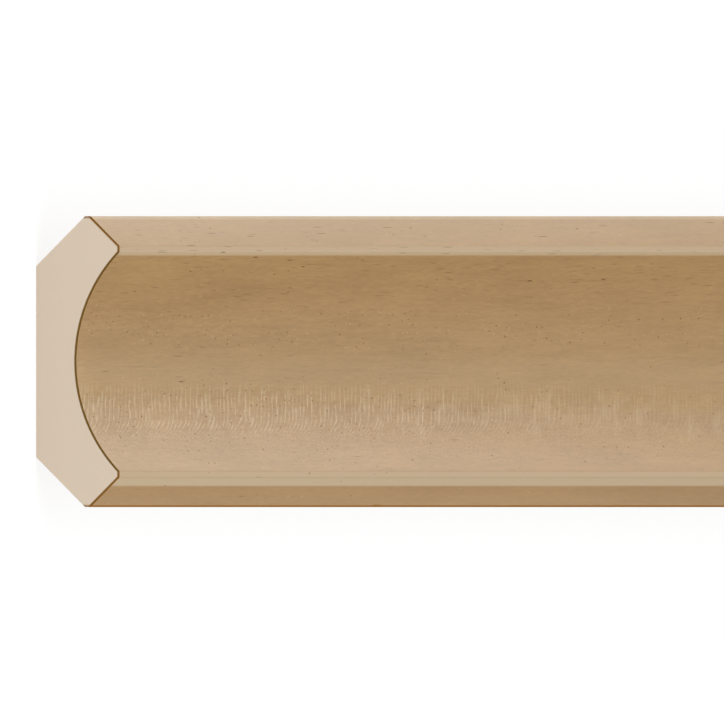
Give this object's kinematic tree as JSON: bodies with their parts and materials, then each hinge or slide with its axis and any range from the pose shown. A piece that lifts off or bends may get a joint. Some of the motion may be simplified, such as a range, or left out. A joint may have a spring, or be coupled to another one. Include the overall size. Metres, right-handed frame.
{
  "type": "cornice moulding",
  "caption": "Straight length of wooden cove cornice moulding: a concave face between sloped fascias, a flat back, and back bevels that seat against wall and ceiling.",
  "frame": {"origin": "middle of the flat back, on the floor that the moulding lies on", "axes": "+X along the length, +Y across the face from the wall bevel to the ceiling bevel, +Z out of the back through the thickness, towards the cove's open side"},
  "size_m": [2.4, 0.07, 0.0205],
  "materials": {
    "stained_wood": "satin"
  },
  "bodies": {
    "root": {"cornice_moulding": "stained_wood"}
  },
  "joints": []
}
